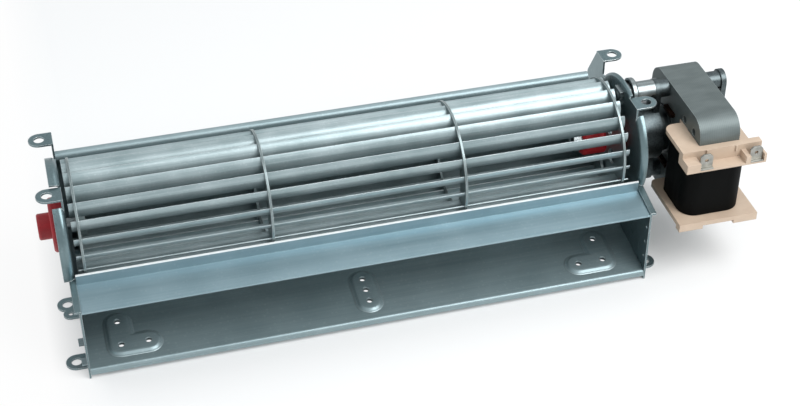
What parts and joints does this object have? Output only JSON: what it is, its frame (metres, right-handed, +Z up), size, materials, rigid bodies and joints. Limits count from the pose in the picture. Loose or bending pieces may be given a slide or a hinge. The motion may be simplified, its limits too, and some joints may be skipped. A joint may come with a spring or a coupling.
{
  "type": "cross flow fan",
  "caption": "Long cross flow fan: folded sheet housing with a wide mouth, a bladed drum wheel and a shaded pole motor on the right end.",
  "frame": {"origin": "on the base plane, midway between the four foot holes", "axes": "+X along the wheel axis towards the motor, +Y to the back, +Z up; the mouth faces -Y"},
  "size_m": [0.3327, 0.0946, 0.0849],
  "materials": {
    "galvanised_steel": "galvanised sheet, fine spangle, cool grey",
    "wheel_sheet": "bright rolled strip",
    "red_moulding": "satin moulded nylon",
    "red_rubber": "moulded silicone rubber",
    "sintered_bronze": "oiled sintered bronze",
    "shaft_steel": "ground steel",
    "cast_aluminium_cage": "turned laminations and cast cage",
    "core_sheet": "stacked electrical sheet, oiled",
    "copper": "bare copper",
    "bobbin_moulding": "glass filled nylon, cream",
    "winding_tape": "black tape",
    "tinned_brass": "tinned blade",
    "cast_zinc": "die cast zinc, satin",
    "zinc_plate": "bright zinc plate"
  },
  "bodies": {
    "housing": {"scroll_sheet": "galvanised_steel", "tongue_sheet": "galvanised_steel", "left_end_plate": "galvanised_steel", "right_end_plate": "galvanised_steel", "bearing_holder": "red_moulding", "bearing_sleeve": "sintered_bronze", "stator_core": "core_sheet", "shading_ring_top": "copper", "shading_ring_bottom": "copper", "bobbin": "bobbin_moulding", "coil": "winding_tape", "terminal_left": "tinned_brass", "terminal_right": "tinned_brass", "motor_bracket_left": "cast_zinc", "motor_bearing_left": "sintered_bronze", "motor_bracket_right": "cast_zinc", "motor_bearing_right": "sintered_bronze", "spacer_top": "zinc_plate", "spacer_bottom": "zinc_plate", "motor_screws": "zinc_plate", "motor_nuts": "zinc_plate"},
    "wheel": {"left_end_disc": "wheel_sheet", "stub_shaft": "shaft_steel", "middle_ring_left": "wheel_sheet", "middle_ring_right": "wheel_sheet", "right_end_disc": "wheel_sheet", "blade_01": "wheel_sheet", "blade_02": "wheel_sheet", "blade_03": "wheel_sheet", "blade_04": "wheel_sheet", "blade_05": "wheel_sheet", "blade_06": "wheel_sheet", "blade_07": "wheel_sheet", "blade_08": "wheel_sheet", "blade_09": "wheel_sheet", "blade_10": "wheel_sheet", "blade_11": "wheel_sheet", "blade_12": "wheel_sheet", "blade_13": "wheel_sheet", "blade_14": "wheel_sheet", "blade_15": "wheel_sheet", "blade_16": "wheel_sheet", "blade_17": "wheel_sheet", "blade_18": "wheel_sheet", "blade_19": "wheel_sheet", "blade_20": "wheel_sheet", "blade_21": "wheel_sheet", "blade_22": "wheel_sheet", "drive_bush": "red_rubber", "drive_insert": "shaft_steel", "motor_shaft": "shaft_steel", "motor_rotor": "cast_aluminium_cage"}
  },
  "joints": [
    {"name": "wheel_spin", "type": "hinge", "parent": "housing", "child": "wheel", "pos_m": [0, 0.01415, 0.054], "axis": [1, 0, 0], "continuous": true}
  ]
}
